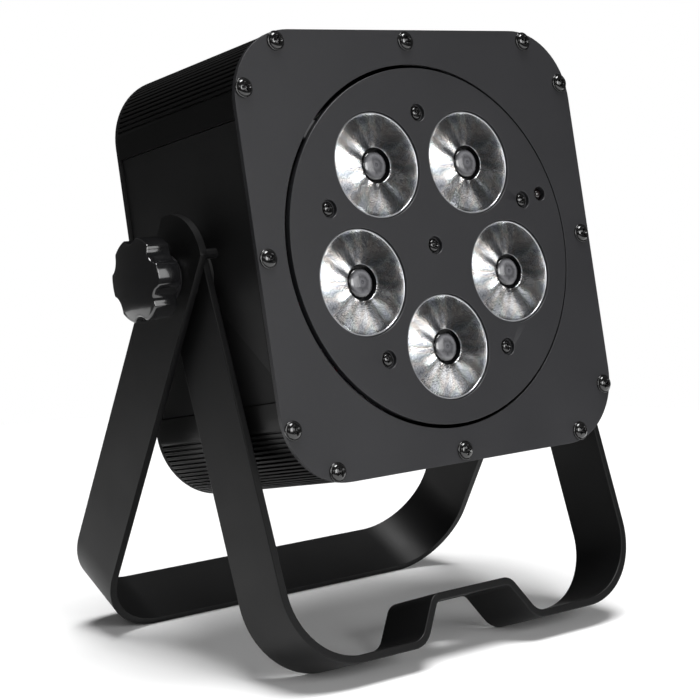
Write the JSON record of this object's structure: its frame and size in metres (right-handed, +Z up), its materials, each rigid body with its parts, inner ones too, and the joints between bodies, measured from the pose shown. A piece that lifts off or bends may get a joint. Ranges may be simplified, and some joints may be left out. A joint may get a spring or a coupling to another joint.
{
  "type": "par can light",
  "caption": "Flat square LED par can with round lens disc, ribbed shells, star-knob pivots and a folding double-bracket floor stand.",
  "frame": {"origin": "on the floor under the middle of the whole light at rest", "axes": "+X to the light's left hand seen from behind, along the tilt axis; -Y out of the front; +Z up"},
  "size_m": [0.2396, 0.1648, 0.257],
  "materials": {
    "plate_coat": "satin fine-textured powder coat",
    "screw_black": "glossy black",
    "bracket_coat": "satin powder coat",
    "shell_coat": "black anodised extrusion",
    "panel_coat": "matte powder coat",
    "lens_clear": "clear lens, looks silvery",
    "holder_black": "moulded",
    "emitter": "phosphor and silicone",
    "board_white": "white solder mask on aluminium",
    "sink_metal": "raw",
    "brass": "turned",
    "ir_dark": "dark tinted dome",
    "wire": "PVC insulation",
    "nut_zinc": "zinc plated",
    "board_green": "solder mask",
    "component": "moulded components",
    "display_tint": "dark red tinted window",
    "button_black": "moulded",
    "socket_black": "moulded",
    "pin_gold": "plated contacts",
    "washer_rubber": "matte",
    "washer_steel": "blackened",
    "knob_black": "polished",
    "stud_steel": "bright zinc"
  },
  "bodies": {
    "front_bracket": {"front_bracket": "bracket_coat", "spacer_washers": "washer_rubber"},
    "rear_bracket": {"rear_bracket": "bracket_coat", "stop_pins": "bracket_coat"},
    "head": {"front_plate": "plate_coat", "plate_screws": "screw_black", "lens_disc": "plate_coat", "disc_screws": "screw_black", "disc_tabs": "sink_metal", "lens_1": "lens_clear", "lens_2": "lens_clear", "lens_3": "lens_clear", "lens_4": "lens_clear", "lens_5": "lens_clear", "lens_holder_1": "holder_black", "lens_holder_2": "holder_black", "lens_holder_3": "holder_black", "lens_holder_4": "holder_black", "lens_holder_5": "holder_black", "led_emitters": "emitter", "led_board": "board_white", "heat_sink": "sink_metal", "standoffs": "brass", "ir_receiver": "ir_dark", "led_wires": "wire", "top_shell": "shell_coat", "bottom_shell": "shell_coat", "side_panel_left": "panel_coat", "side_panel_right": "panel_coat", "rear_panel": "panel_coat", "rear_screws": "screw_black", "pivot_nut_left": "nut_zinc", "pivot_nut_right": "nut_zinc", "power_board": "board_green", "power_transformer": "component", "power_capacitors": "component", "control_board": "board_green", "display_module": "component", "display_window": "display_tint", "button_switches": "component", "dmx_input": "socket_black", "dmx_input_pins": "pin_gold", "dmx_output": "socket_black", "connector_screws": "screw_black", "power_inlet": "socket_black", "inlet_blades": "nut_zinc", "safety_eye": "nut_zinc", "liner_washers": "washer_rubber"},
    "clamp_left": {"knob_washer_left": "washer_steel"},
    "knob_left": {"knob_left": "knob_black", "stud_left": "stud_steel"},
    "clamp_right": {"knob_washer_right": "washer_steel"},
    "knob_right": {"knob_right": "knob_black", "stud_right": "stud_steel"},
    "button_1": {"button_1": "button_black"},
    "button_2": {"button_2": "button_black"},
    "button_3": {"button_3": "button_black"},
    "button_4": {"button_4": "button_black"},
    "dmx_latch": {"dmx_latch": "nut_zinc"},
    "fuse_drawer": {"fuse_drawer": "socket_black"}
  },
  "joints": [
    {"name": "head_tilt", "type": "hinge", "parent": "front_bracket", "child": "head", "pos_m": [0, -0.01133, 0.1601], "axis": [1, 0, 0], "continuous": true},
    {"name": "stand_fold", "type": "hinge", "parent": "front_bracket", "child": "rear_bracket", "pos_m": [0, -0.01133, 0.1601], "axis": [1, 0, 0], "range_deg": [-208, 43]},
    {"name": "clamp_left_travel", "type": "slide", "parent": "head", "child": "clamp_left", "axis": [-1, 0, 0], "range_m": [0, 0.0026]},
    {"name": "knob_left_turn", "type": "hinge", "parent": "clamp_left", "child": "knob_left", "pos_m": [0, -0.01133, 0.1601], "axis": [-1, 0, 0], "range_deg": [0, 720]},
    {"name": "clamp_right_travel", "type": "slide", "parent": "head", "child": "clamp_right", "axis": [1, 0, 0], "range_m": [0, 0.0026]},
    {"name": "knob_right_turn", "type": "hinge", "parent": "clamp_right", "child": "knob_right", "pos_m": [0, -0.01133, 0.1601], "axis": [1, 0, 0], "range_deg": [0, 720]},
    {"name": "button_1_press", "type": "slide", "parent": "head", "child": "button_1", "axis": [0, -0.9806, 0.1959], "range_m": [0, 0.0008], "stiffness_N_per_m": 400, "springref_m": -0.0004},
    {"name": "button_2_press", "type": "slide", "parent": "head", "child": "button_2", "axis": [0, -0.9806, 0.1959], "range_m": [0, 0.0008], "stiffness_N_per_m": 400, "springref_m": -0.0004},
    {"name": "button_3_press", "type": "slide", "parent": "head", "child": "button_3", "axis": [0, -0.9806, 0.1959], "range_m": [0, 0.0008], "stiffness_N_per_m": 400, "springref_m": -0.0004},
    {"name": "button_4_press", "type": "slide", "parent": "head", "child": "button_4", "axis": [0, -0.9806, 0.1959], "range_m": [0, 0.0008], "stiffness_N_per_m": 400, "springref_m": -0.0004},
    {"name": "latch_press", "type": "slide", "parent": "head", "child": "dmx_latch", "axis": [0, -0.9806, 0.1959], "range_m": [0, 0.0022], "stiffness_N_per_m": 300, "springref_m": -0.001},
    {"name": "fuse_drawer_slide", "type": "slide", "parent": "head", "child": "fuse_drawer", "axis": [0, 0.9806, -0.1959], "range_m": [0, 0.012]}
  ],
  "couplings": [
    {"joint": "clamp_left_travel", "follows": "knob_left_turn", "m_per_rad": 0.00019894},
    {"joint": "clamp_right_travel", "follows": "knob_right_turn", "m_per_rad": 0.00019894}
  ]
}
